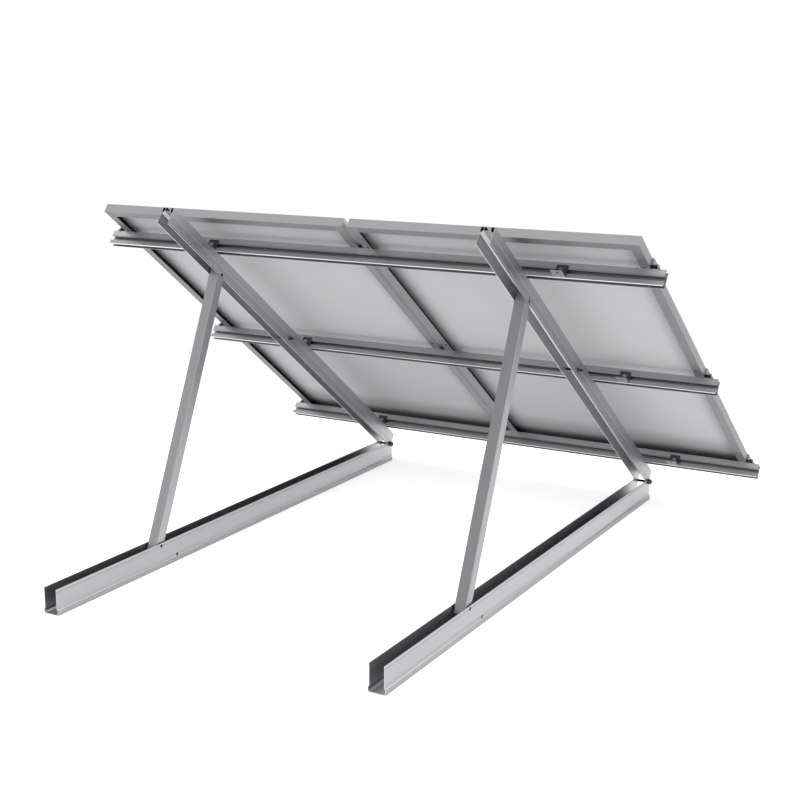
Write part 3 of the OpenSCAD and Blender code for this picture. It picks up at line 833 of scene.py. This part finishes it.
class RackCells(bpy.types.PropertyGroup):
    """Layout of the cells on each panel's front."""

    cell_columns: IntProperty(name="Columns", description="Cells across a panel", default=6, min=1, max=12)
    cell_rows: IntProperty(name="Rows", description="Cells along a panel", default=11, min=1, max=24)
    cell_size: FloatProperty(
        name="Cell", description="Side of a cell", default=0.15875, min=0.1, max=0.22, unit="LENGTH")
    cell_gap: FloatProperty(
        name="Gap", description="Gap between cells", default=0.002, min=0.0005, max=0.01, unit="LENGTH")
    cell_chamfer: FloatProperty(
        name="Corner", description="Size of a cell's cut corners", default=0.008, min=0.001, max=0.03,
        unit="LENGTH")
    ribbons: IntProperty(name="Ribbons", description="Ribbons on each cell", default=5, min=2, max=12)


class RackStudio(bpy.types.PropertyGroup):
    """Camera and light."""

    azimuth: FloatProperty(
        name="Azimuth", description="Direction the camera looks in, from +Y", default=math.radians(29.3296),
        subtype="ANGLE")
    pitch: FloatProperty(
        name="Pitch", description="How far the camera looks down", default=math.radians(13.0265),
        subtype="ANGLE")
    roll: FloatProperty(
        name="Roll", description="Turn of the camera about its view", default=math.radians(0.1225),
        subtype="ANGLE")
    lens: FloatProperty(
        name="Lens", description="Focal length on a 36 mm sensor", default=64.03, min=20, max=200)
    eye: FloatVectorProperty(
        name="Eye", description="Place of the camera", default=(2.47262, -4.34516, 1.70433),
        subtype="TRANSLATION")
    sky: FloatProperty(name="Sky", description="Strength of the even light", default=0.9, min=0, max=2)
    key: FloatProperty(name="Key", description="Power of the key lamp", default=150.0, min=0, max=5000)
    fill: FloatProperty(name="Fill", description="Power of the fill lamp", default=60.0, min=0, max=5000)


def dress(nodes, finish):
    """Gives CAD nodes one finish."""
    for name in nodes:
        mesh = NODES[name].data
        mesh.materials.clear()
        mesh.materials.append(finish)


def fit_dark_bolts(kind, colours, nut_tone, bolts, nuts, washers):
    """Finishes one kind of black bolts, with their dark nuts and washers."""
    nut = plain_steel(f"{kind}_nut_steel", colours.steel * nut_tone, 0.42)
    washer = plain_steel(f"{kind}_washer_steel", colours.steel * 0.15, 0.42)
    fit(bolts, f"{kind}_bolts", black_coat(f"{kind}_bolt_black", colours.black))
    fit(nuts, f"{kind}_nuts", nut)
    fit(washers, f"{kind}_washers", washer)


# Operators


class RACK_OT_channels(bpy.types.Operator):
    """Finish the base channels"""

    bl_idname = "rack.channels"
    bl_label = "Base channels"

    def execute(self, context):
        # Painted light on the channels' slanted foot, by facing; the belts paint shade on the foot band and along two
        # lines of the walls.
        dress(("base_left", "base_right"), drawn_aluminium(
            "channel_mill", context.scene.rack_colours.channel, 0.0, 1, 0.44,
            sides=((2, 0.6, 0.9, 1.35),),
            belts=((2, 0.0, 17 * MM, 0.78), (2, 21 * MM, 23 * MM, 0.8), (2, 76.6 * MM, 78.2 * MM, 0.6)),
            painted_light_and_shade=channel_painted_light_and_shade))
        return {"FINISHED"}


class RACK_OT_rafters(bpy.types.Operator):
    """Finish the rafters"""

    bl_idname = "rack.rafters"
    bl_label = "Rafters"

    def execute(self, context):
        # Painted light on the rafters' undersides, by facing.
        dress(("rafter_left", "rafter_right"), drawn_aluminium(
            "rafter_mill", context.scene.rack_colours.rafter, SLOPE, 1, 0.42,
            sides=((2, -2, -0.95, 1.2), (2, -0.95, -0.4, 1.5)), painted_light_and_shade=rafter_painted_light_and_shade))
        return {"FINISHED"}


class RACK_OT_legs(bpy.types.Operator):
    """Finish the rear legs"""

    bl_idname = "rack.legs"
    bl_label = "Rear legs"

    def execute(self, context):
        # Painted shade on the fronts and backs of the legs, by facing.
        dress(("leg_left", "leg_right"), drawn_aluminium(
            "leg_mill", context.scene.rack_colours.leg, LEG_LEAN, 2, 0.44,
            sides=((1, -2, -0.9, 0.68), (1, 0.9, 2, 0.68)), painted_light_and_shade=leg_painted_light_and_shade))
        return {"FINISHED"}


class RACK_OT_rails(bpy.types.Operator):
    """Finish the cross rails"""

    bl_idname = "rack.rails"
    bl_label = "Rails"

    def execute(self, context):
        # Painted light on the rails' undersides and painted shade on their up-slope faces, by facing.
        dress(("rail_top", "rail_middle", "rail_bottom"), drawn_aluminium(
            "rail_mill", context.scene.rack_colours.rail, SLOPE, 0, 0.42,
            sides=((2, -2, -0.9, 1.6), (1, -2, -0.9, 0.82)), painted_light_and_shade=rail_painted_light_and_shade, cut_tone=0.3))
        return {"FINISHED"}


class RACK_OT_frames(bpy.types.Operator):
    """Finish the panel frames"""

    bl_idname = "rack.frames"
    bl_label = "Panel frames"

    def execute(self, context):
        colour = context.scene.rack_colours.frames
        # The frames carry painted shade by facing and, through hollow, painted shade inside and under the clamps and
        # in their holes, and painted light in the gap between the panels.
        level = anodised_aluminium("frame_level_satin", colour, SLOPE, 0, sides=FRAME_SIDE_SHADES, hollow=True)
        sloping = anodised_aluminium("frame_sloping_satin", colour, SLOPE, 1, sides=FRAME_SIDE_SHADES, hollow=True)
        for side in ("left", "right"):
            dress((f"{side}_frame_top", f"{side}_frame_bottom"), level)
            dress((f"{side}_frame_inner", f"{side}_frame_outer"), sloping)
        return {"FINISHED"}


class RACK_OT_panels(bpy.types.Operator):
    """Build the two panel sheets with their cells"""

    bl_idname = "rack.panels"
    bl_label = "Panel sheets"

    def execute(self, context):
        colours, cells = context.scene.rack_colours, context.scene.rack_cells
        materials = [
            back_sheet("back_sheet_film", colours.sheet),
            cell_ground("cell_ground_film", (0.8, 0.8, 0.81)),
            silicon_cell("silicon_cell", colours.cell),
            tinned_ribbon("tinned_ribbon", colours.ribbon),
        ]
        for side, x0 in (("left", -PANEL_X - PANEL_W), ("right", PANEL_X)):
            bm = bmesh.new()
            panel_sheet(bm, x0, PANEL_W, PANEL_LEN, 25.2 * MM, 30.2 * MM, cells)
            piece = settle(bm, f"{side}_panel_sheet", materials, smooth=False)
            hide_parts(f"{side}_laminate")
        return {"FINISHED"}


class RACK_OT_clamps(bpy.types.Operator):
    """Finish the clamps and build their screws and slot nuts"""

    bl_idname = "rack.clamps"
    bl_label = "Clamps"

    def execute(self, context):
        colours = context.scene.rack_colours
        # Painted shade on the clamps' faces under their plates.
        dress(("end_clamps_left", "end_clamps_right", "mid_clamps"),
              anodised_aluminium("clamp_satin", colours.clamp, SLOPE, 1, under=True))
        steel = plain_steel("clamp_steel", colours.steel * 0.2)
        heads, nuts = bmesh.new(), bmesh.new()
        for a in RAIL_A:
            for x in (-END_CLAMP_X, 0.0, END_CLAMP_X):
                plate = slope_place(x, a + RAIL_MIDDLE, RAIL_TOP + 13.5 * MM)
                cap_screw_head(heads, plate, 6.4 * MM, 8 * MM, 6 * MM)
                threaded_rod(heads, plate @ TURN_OVER, 4 * MM, 23.4 * MM, M8_PITCH)
                slot_block(nuts, slope_place(x, a + RAIL_MIDDLE, RAIL_TOP - 10 * MM), (20 * MM, 18 * MM, 6 * MM))
        fit(heads, "clamp_screws", steel)
        fit(nuts, "clamp_slot_nuts", steel)
        return {"FINISHED"}


class RACK_OT_brackets(bpy.types.Operator):
    """Finish the rail brackets and build their bolts, washers and nuts"""

    bl_idname = "rack.brackets"
    bl_label = "Brackets"

    def execute(self, context):
        colours = context.scene.rack_colours
        # Painted shade on the brackets' up-slope faces and painted light on their undersides, by facing.
        dress(("brackets_left", "brackets_right"),
              drawn_aluminium("bracket_mill", colours.bracket, SLOPE, 0, 0.45,
                              sides=((1, -2, -0.9, 0.35), (2, -2, -0.9, 1.15))))
        steel = plain_steel("bracket_steel", colours.steel)
        made = {name: bmesh.new() for name in ("t_bolts", "washers", "nuts", "foot_bolts", "foot_nuts")}
        slot_b = RAFTER_TOP + 20.8 * MM
        up = Matrix.Rotation(math.pi / 2, 4, "X")
        for a in RAIL_A:
            for side, x in enumerate(BRACKET_X):
                seat = slope_place(x, a + 2.2 * MM, slot_b) @ up
                threaded_rod(made["t_bolts"], seat, 4 * MM, 17.2 * MM, M8_PITCH)
                slot_block(made["t_bolts"], seat @ Matrix.Translation((0, 0, -5 * MM)), (12 * MM, 19.9 * MM, 5 * MM))
                washer_body(made["washers"], slope_place(x, a - 4 * MM, slot_b) @ up, 8.4 * MM, 4.3 * MM, 1.6 * MM)
                hex_body(made["nuts"], slope_place(x, a - 5.6 * MM, slot_b) @ up, 13 * MM, 6.4 * MM, 4 * MM)
                if side == 0:
                    foot = slope_place(x, a - 29.5 * MM, RAFTER_TOP + 4 * MM)
                    hex_body(made["foot_bolts"], foot, 13 * MM, 5.6 * MM)
                    threaded_rod(made["foot_bolts"], foot @ TURN_OVER, 4 * MM, 12.4 * MM, M8_PITCH)
                    slot_block(made["foot_nuts"], slope_place(x, a - 29.5 * MM, RAFTER_TOP - 8.4 * MM),
                               (21.2 * MM, 18 * MM, 6 * MM))
        for name, bm in made.items():
            fit(bm, f"bracket_{name}", steel)
        return {"FINISHED"}


class RACK_OT_pivots(bpy.types.Operator):
    """Build the pivot bolts, nuts and washers at the low ends"""

    bl_idname = "rack.pivots"
    bl_label = "Pivot bolts"

    def execute(self, context):
        half, y, z = CHANNEL_HALF, PIVOT.y, PIVOT.z
        bolts, nuts, washers = (bmesh.new() for _ in range(3))
        for x in RAFTER_X:
            hex_body(bolts, cross_place(x - half - 2.5 * MM, y, z, -1), 19 * MM, 7 * MM)
            threaded_rod(bolts, cross_place(x - half - 2.5 * MM, y, z), 5 * MM, 2 * half + 17.5 * MM, M10_PITCH)
            hex_body(nuts, cross_place(x + half + 2.5 * MM, y, z), 19 * MM, 10 * MM, 5 * MM)
            for at in (x - half - 2.5 * MM, x + half):
                washer_body(washers, cross_place(at, y, z), 10.5 * MM, 5.3 * MM, 2.5 * MM)
        fit_dark_bolts("pivot", context.scene.rack_colours, 0.3, bolts, nuts, washers)
        return {"FINISHED"}


class RACK_OT_leg_bolts(bpy.types.Operator):
    """Build the bolts, spacers and washers at both ends of the legs"""

    bl_idname = "rack.leg_bolts"
    bl_label = "Leg bolts"

    def execute(self, context):
        black = black_coat("black_bolt", context.scene.rack_colours.black)
        for end, ring_node, half, inner, ring in (
            ("foot", "leg_foot_spacers", CHANNEL_HALF, 24.05 * MM, 9 * MM),
            ("top", "leg_top_washers", RAFTER_HALF, 21.95 * MM, 8.4 * MM),
        ):
            y, z = middle(ring_node).yz
            bolts, rings = bmesh.new(), bmesh.new()
            for x in RAFTER_X:
                hex_body(bolts, cross_place(x - half, y, z, -1), 13 * MM, 5.6 * MM)
                threaded_rod(bolts, cross_place(x - half, y, z), 4 * MM, 2 * half, M8_PITCH)
                for at in (x - inner, x + LEG_HALF):
                    washer_body(rings, cross_place(at, y, z), ring, 4.3 * MM, inner - LEG_HALF)
            fit(bolts, f"leg_{end}_bolts", black)
            fit(rings, ring_node, black)
        return {"FINISHED"}


class RACK_OT_cross_bolts(bpy.types.Operator):
    """Build the cross bolt through each rafter, with its washer and nut"""

    bl_idname = "rack.cross_bolts"
    bl_label = "Cross bolts"

    def execute(self, context):
        half = RAFTER_HALF
        y, z = middle("cross_washers").yz
        bolts, nuts, washers = (bmesh.new() for _ in range(3))
        for x in RAFTER_X:
            hex_body(bolts, cross_place(x - half, y, z, -1), 13 * MM, 5.6 * MM)
            threaded_rod(bolts, cross_place(x - half, y, z), 4 * MM, 2 * half + 17 * MM, M8_PITCH)
            hex_body(nuts, cross_place(x + half + 1.6 * MM, y, z), 13 * MM, 6.4 * MM, 4 * MM)
            washer_body(washers, cross_place(x + half, y, z), 8.4 * MM, 4.3 * MM, 1.6 * MM)
        fit_dark_bolts("cross", context.scene.rack_colours, 0.35, bolts, nuts, washers)
        return {"FINISHED"}


class RACK_OT_studio(bpy.types.Operator):
    """Set up the floor, light and camera"""

    bl_idname = "rack.studio"
    bl_label = "Studio"

    def floor_finish(self):
        """Pale floor that fades into the white background and keeps the shadow."""
        f = Finish("floor_white")
        spot = f.axes(f.place())
        fade = f.band((spot[0] * spot[0] + spot[1] * spot[1]).root(), 2.2, 4.5)
        diffuse = f.add("ShaderNodeBsdfDiffuse", sockets={"Color": (0.9, 0.9, 0.9, 1)})
        glow = f.add("ShaderNodeEmission", sockets={"Color": WHITE, "Strength": 0.6})
        lit = f.add("ShaderNodeAddShader", sockets={0: diffuse, 1: glow})
        near = f.add("ShaderNodeMixShader", sockets={0: f.seen(), 1: diffuse, 2: lit})
        white = f.add("ShaderNodeEmission", sockets={"Color": WHITE, "Strength": 1.0})
        return f.close(f.add("ShaderNodeMixShader", sockets={0: fade, 1: near, 2: white}))

    def sky(self, strength):
        """Even light on the object, before a background that is seen as white."""
        f = Finish("studio_light", world=True)
        even = f.add("ShaderNodeBackground", sockets={"Color": WHITE, "Strength": strength})
        white = f.add("ShaderNodeBackground", sockets={"Color": WHITE, "Strength": 1.0})
        return f.close(f.add("ShaderNodeMixShader", sockets={0: f.seen(), 1: even, 2: white}))

    def execute(self, context):
        studio = context.scene.rack_studio
        bm = bmesh.new()
        bmesh.ops.create_grid(bm, x_segments=8, y_segments=8, size=12.0)
        mesh = bpy.data.meshes.new("studio_floor")
        bm.to_mesh(mesh)
        bm.free()
        mesh.materials.append(self.floor_finish())
        floor = bpy.data.objects.new("studio_floor", mesh)
        floor.location.z = -0.0005
        context.scene.collection.objects.link(floor)

        context.scene.world = self.sky(studio.sky)

        for name, place, aim, power in (
            ("key_lamp", (8.0, 4.0, 4.5), (0, 0, 0.5), studio.key),
            ("fill_lamp", (-2.0, -9.0, 4.0), (0, 0, 0.6), studio.fill),
        ):
            light = bpy.data.lights.new(name, "AREA")
            light.shape = "DISK"
            light.size = 5.0
            light.energy = power
            lamp = bpy.data.objects.new(name, light)
            lamp.location = place
            lamp.rotation_euler = (Vector(aim) - Vector(place)).to_track_quat("-Z", "Y").to_euler()
            context.scene.collection.objects.link(lamp)

        camera_data = bpy.data.cameras.new("photo_camera")
        camera_data.sensor_width = 36.0
        camera_data.lens = studio.lens
        camera_data.clip_start, camera_data.clip_end = 0.05, 100.0
        camera = bpy.data.objects.new("photo_camera", camera_data)
        a, e = studio.azimuth, studio.pitch
        forward = Vector((-math.sin(a) * math.cos(e), math.cos(a) * math.cos(e), -math.sin(e)))
        right = Vector((math.cos(a), math.sin(a), 0))
        up = right.cross(forward)
        turn = Matrix((right, up, -forward)).transposed() @ Matrix.Rotation(studio.roll, 3, "Z")
        camera.matrix_world = Matrix.Translation(Vector(studio.eye)) @ turn.to_4x4()
        context.scene.collection.objects.link(camera)
        context.scene.camera = camera
        context.scene.view_settings.view_transform = "Standard"
        return {"FINISHED"}


OPERATORS = (
    RACK_OT_channels, RACK_OT_rafters, RACK_OT_legs, RACK_OT_rails, RACK_OT_frames, RACK_OT_panels,
    RACK_OT_clamps, RACK_OT_brackets, RACK_OT_pivots, RACK_OT_leg_bolts, RACK_OT_cross_bolts,
    RACK_OT_studio,
)


class RACK_PT_sidebar(bpy.types.Panel):
    """Settings and steps of the rack"""

    bl_label = "Solar rack"
    bl_idname = "RACK_PT_sidebar"
    bl_space_type = "VIEW_3D"
    bl_region_type = "UI"
    bl_category = "Solar rack"

    def draw(self, context):
        for group in (context.scene.rack_colours, context.scene.rack_cells, context.scene.rack_studio):
            box = self.layout.box()
            for name in group.bl_rna.properties.keys():
                if name not in ("rna_type", "name"):
                    box.prop(group, name)
        for operator in OPERATORS:
            self.layout.operator(operator.bl_idname)


GROUPS = (RackColours, RackCells, RackStudio)


def register():
    """Registers the settings, the operators and the panel."""
    for item in (*GROUPS, *OPERATORS, RACK_PT_sidebar):
        bpy.utils.register_class(item)
    bpy.types.Scene.rack_colours = PointerProperty(type=RackColours)
    bpy.types.Scene.rack_cells = PointerProperty(type=RackCells)
    bpy.types.Scene.rack_studio = PointerProperty(type=RackStudio)


def unregister():
    """Takes them away again."""
    del bpy.types.Scene.rack_studio
    del bpy.types.Scene.rack_cells
    del bpy.types.Scene.rack_colours
    for item in reversed((*GROUPS, *OPERATORS, RACK_PT_sidebar)):
        bpy.utils.unregister_class(item)


def main():
    """Builds everything in order."""
    register()
    for operator in OPERATORS:
        group, name = operator.bl_idname.split(".")
        getattr(getattr(bpy.ops, group), name)()


if __name__ == "__main__":
    main()
